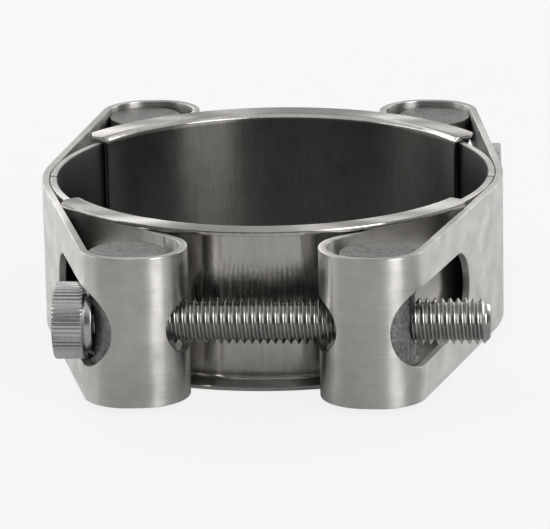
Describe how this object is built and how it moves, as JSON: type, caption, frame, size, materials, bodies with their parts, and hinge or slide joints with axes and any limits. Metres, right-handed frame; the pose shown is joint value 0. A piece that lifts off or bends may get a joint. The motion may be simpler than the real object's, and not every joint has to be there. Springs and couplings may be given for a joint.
{
  "type": "t-bolt hose clamp",
  "caption": "Double-bolt hose clamp: folded steel half bands with barrels in their loops, drawn together by socket screws over flanged bridge plates.",
  "frame": {"origin": "centre of the hose seat, on the ring axis at half the band width", "axes": "+Z along the ring axis; +Y from the front screw to the back screw; screws along X"},
  "size_m": [0.0626, 0.0821, 0.0216],
  "materials": {
    "band_steel": "satin stainless strip, lightly brushed",
    "barrel_steel": "turned stainless, grainy ends",
    "screw_steel": "bright stainless, knurled head",
    "bridge_steel": "bright stainless sheet with satin flanges"
  },
  "bodies": {
    "left_half": {"left_band": "band_steel", "front_left_barrel": "barrel_steel", "back_left_barrel": "barrel_steel"},
    "right_half": {"right_band": "band_steel", "front_right_barrel": "barrel_steel", "back_right_barrel": "barrel_steel"},
    "front_screw_body": {"front_screw": "screw_steel"},
    "back_screw_body": {"back_screw": "screw_steel"},
    "front_bridge_body": {"front_bridge": "bridge_steel"},
    "back_bridge_body": {"back_bridge": "bridge_steel"}
  },
  "joints": [
    {"name": "opening", "type": "slide", "parent": "left_half", "child": "right_half", "axis": [1, 0, 0], "range_m": [0, 0.004]},
    {"name": "front_screw_turn", "type": "hinge", "parent": "left_half", "child": "front_screw_body", "pos_m": [0, -0.03602, 0], "axis": [-1, 0, 0], "range_deg": [0, 1441]},
    {"name": "back_screw_turn", "type": "hinge", "parent": "right_half", "child": "back_screw_body", "pos_m": [0, 0.03363, 0], "axis": [1, 0, 0], "range_deg": [0, 1441]},
    {"name": "front_bridge_slide", "type": "slide", "parent": "left_half", "child": "front_bridge_body", "axis": [1, 0, 0], "range_m": [0, 0.00201]},
    {"name": "back_bridge_slide", "type": "slide", "parent": "left_half", "child": "back_bridge_body", "axis": [1, 0, 0], "range_m": [0, 0.00201]}
  ],
  "couplings": [
    {"joint": "front_screw_turn", "follows": "opening", "rad_per_m": 6283.2},
    {"joint": "back_screw_turn", "follows": "opening", "rad_per_m": 6283.2},
    {"joint": "front_bridge_slide", "follows": "opening", "ratio": 0.5},
    {"joint": "back_bridge_slide", "follows": "opening", "ratio": 0.5}
  ]
}
